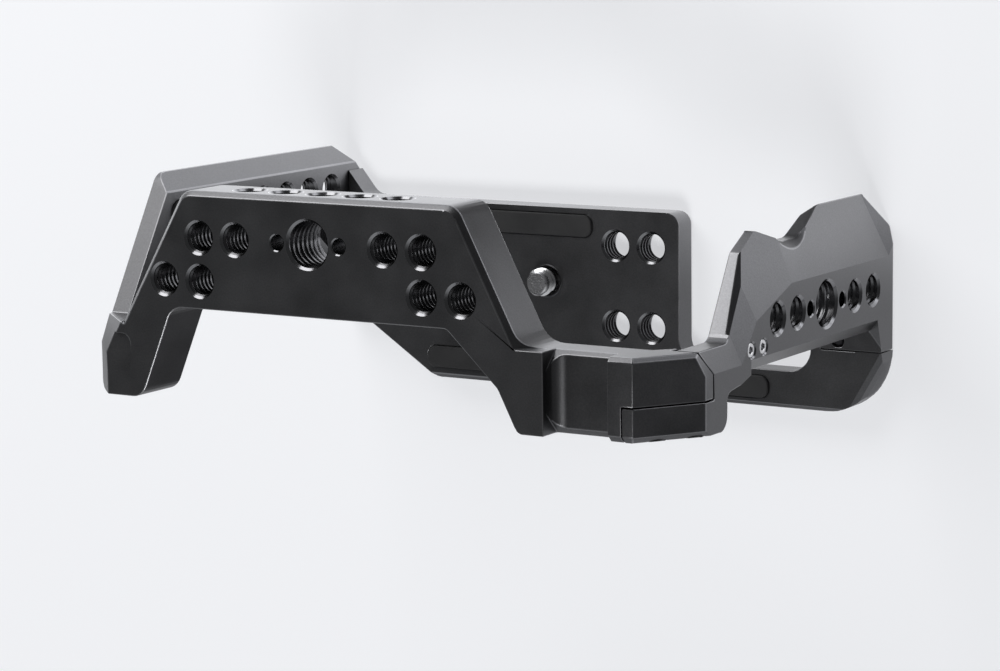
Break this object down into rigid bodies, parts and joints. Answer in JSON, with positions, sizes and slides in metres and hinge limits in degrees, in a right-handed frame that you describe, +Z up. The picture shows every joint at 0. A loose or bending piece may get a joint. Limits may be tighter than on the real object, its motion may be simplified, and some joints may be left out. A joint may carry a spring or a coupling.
{
  "type": "camera cage",
  "caption": "Open metal cage that wraps a mirrorless camera body, with threaded accessory holes, a captive camera screw, rubber pads and a hex key kept in its base.",
  "frame": {"origin": "centre of the cage's footprint, on the underside of its base plate", "axes": "+Z is up, +Y is the lens side and +X is the camera's grip side, which is on the viewer's left when the viewer faces the lens"},
  "size_m": [0.1406, 0.053, 0.1],
  "materials": {
    "cage_metal": "bead-blasted and anodised black",
    "steel": "satin stainless",
    "black_steel": "black oxide",
    "tool_steel": "plated",
    "nickel": "nickel plated",
    "washer": "black nylon",
    "rubber": "matte black"
  },
  "bodies": {
    "cage": {"main_frame": "cage_metal", "right_wall": "cage_metal", "base_plate": "cage_metal", "lug_set_screws": "steel", "arm_screws": "black_steel", "arm_dowel": "black_steel", "right_foot_screws": "black_steel", "left_foot_screws": "black_steel", "foot_dowels": "black_steel", "bridge_pad": "rubber", "left_wall_pad": "rubber", "right_wall_pad": "rubber", "front_base_pad": "rubber", "rear_base_pad": "rubber", "battery_side_pad": "rubber", "key_magnets": "nickel"},
    "washer": {"screw_washer": "washer"},
    "screw": {"camera_screw": "steel"},
    "ring": {"screw_ring": "steel"},
    "key": {"hex_key": "tool_steel"}
  },
  "joints": [
    {"name": "screw_travel", "type": "slide", "parent": "cage", "child": "washer", "axis": [0, 0, 1], "range_m": [-0.00445, 0]},
    {"name": "screw_turn", "type": "hinge", "parent": "washer", "child": "screw", "pos_m": [-0.01235, -0.0021, 0.005], "axis": [0, 0, 1], "range_deg": [-1260, 0]},
    {"name": "ring_fold", "type": "hinge", "parent": "screw", "child": "ring", "pos_m": [-0.01235, -0.0021, 0.0019], "axis": [1, 0, 0], "range_deg": [0, 90]},
    {"name": "key_pull", "type": "slide", "parent": "cage", "child": "key", "axis": [0, 0, -1], "range_m": [0, 0.008]}
  ],
  "couplings": [
    {"joint": "screw_travel", "follows": "screw_turn", "m_per_rad": 0.00020213}
  ]
}
